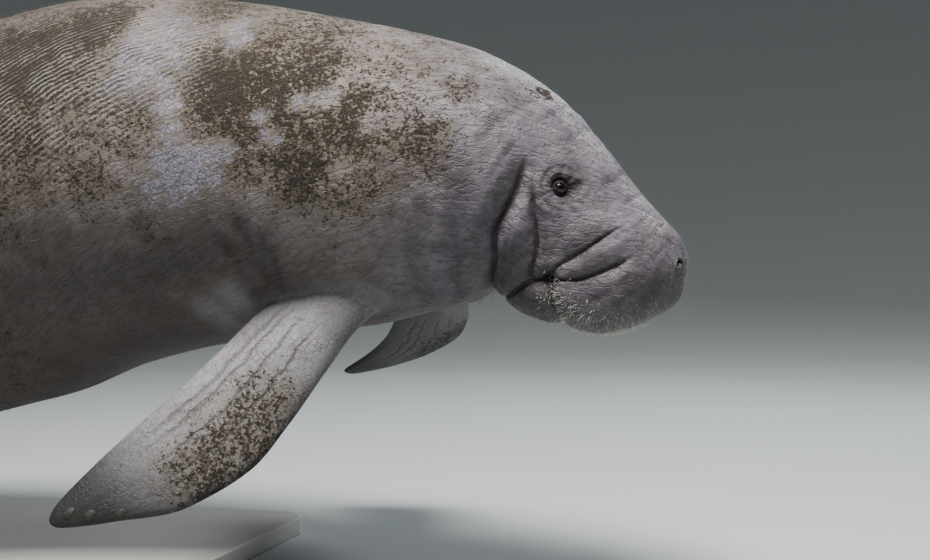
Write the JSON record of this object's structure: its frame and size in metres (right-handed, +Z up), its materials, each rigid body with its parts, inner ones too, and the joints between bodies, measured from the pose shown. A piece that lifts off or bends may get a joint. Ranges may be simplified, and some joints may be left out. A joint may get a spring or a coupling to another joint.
{
  "type": "manatee museum model",
  "caption": "Life-size still model of a manatee swimming with its head bent down and flippers swept back, on a flat base with short rods.",
  "frame": {"origin": "centre of the underside of the display stand's base, on the floor, about below the animal's centre of mass", "axes": "+X toward the head along the body, +Y to the animal's left side, +Z up"},
  "size_m": [2.9408, 0.8288, 0.8895],
  "materials": {
    "skin": "thick wrinkled grey hide with brown algae film, matt",
    "lip_skin": "wrinkled bristly lip skin, matt",
    "eye": "dark, wet gloss",
    "nail": "worn horn",
    "stand_board": "pale painted board, satin",
    "stand_steel": "brushed"
  },
  "bodies": {
    "root": {"eye_left": "eye", "eye_right": "eye", "flipper_left": "skin", "flipper_right": "skin", "head": "skin", "lower_jaw": "lip_skin", "muzzle": "lip_skin", "nail_left_1": "nail", "nail_left_2": "nail", "nail_left_3": "nail", "nail_right_1": "nail", "nail_right_2": "nail", "nail_right_3": "nail", "neck": "skin", "stand_base": "stand_board", "stand_rod_front": "stand_steel", "stand_rod_rear": "stand_steel", "tail_paddle": "skin", "tail_stock": "skin", "torso_front": "skin", "torso_middle": "skin", "torso_rear": "skin"}
  },
  "joints": []
}
